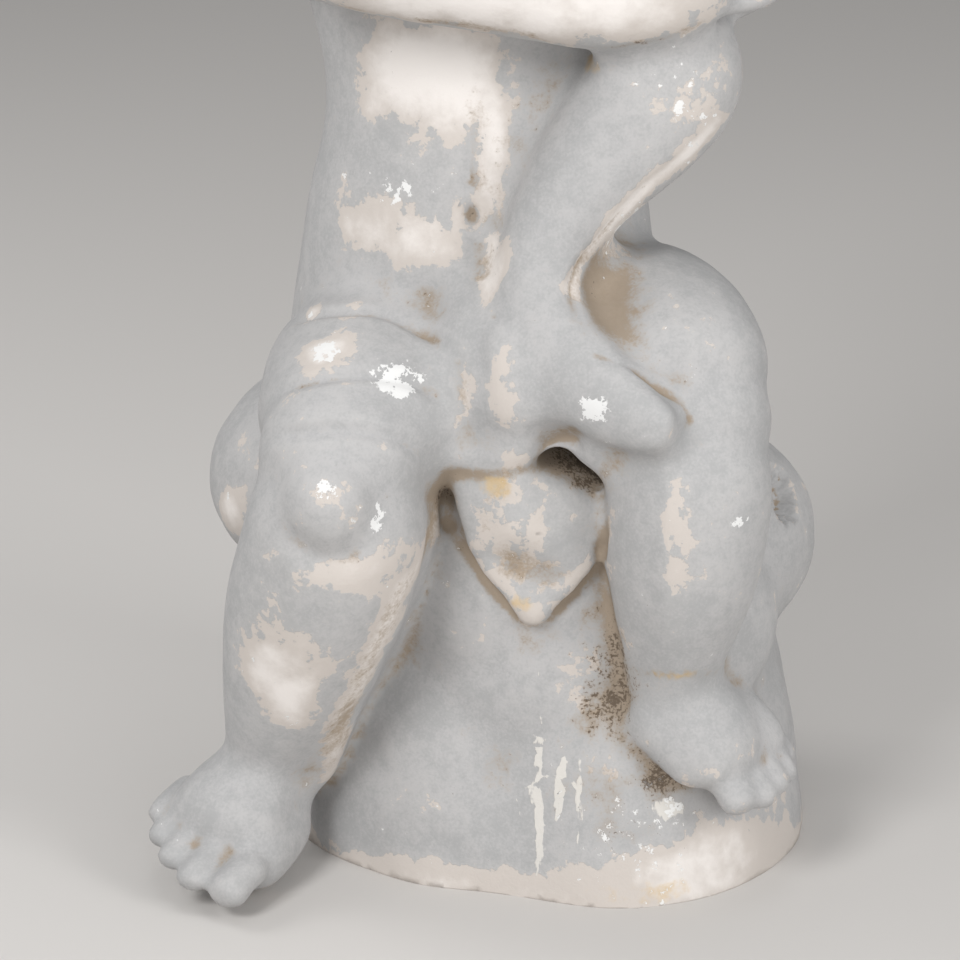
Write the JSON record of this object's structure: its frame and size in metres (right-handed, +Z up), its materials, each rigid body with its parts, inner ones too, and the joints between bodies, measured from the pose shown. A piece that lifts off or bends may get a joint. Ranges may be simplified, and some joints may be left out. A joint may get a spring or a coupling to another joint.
{
  "type": "cherub garden statue",
  "caption": "Chubby cherub seated on a rock mound, one arm across the chest, painted grey cast stone with worn and flaking paint.",
  "frame": {"origin": "middle of the flat underside of the mound", "axes": "+Z up, the figure faces -Y, its own right side is towards -X"},
  "size_m": [0.2613, 0.219, 0.5802],
  "materials": {
    "painted_cast_stone": "matt blue-grey paint, worn to a pale undercoat, with dirt in the hollows"
  },
  "bodies": {
    "root": {"cherub_statue": "painted_cast_stone"}
  },
  "joints": []
}
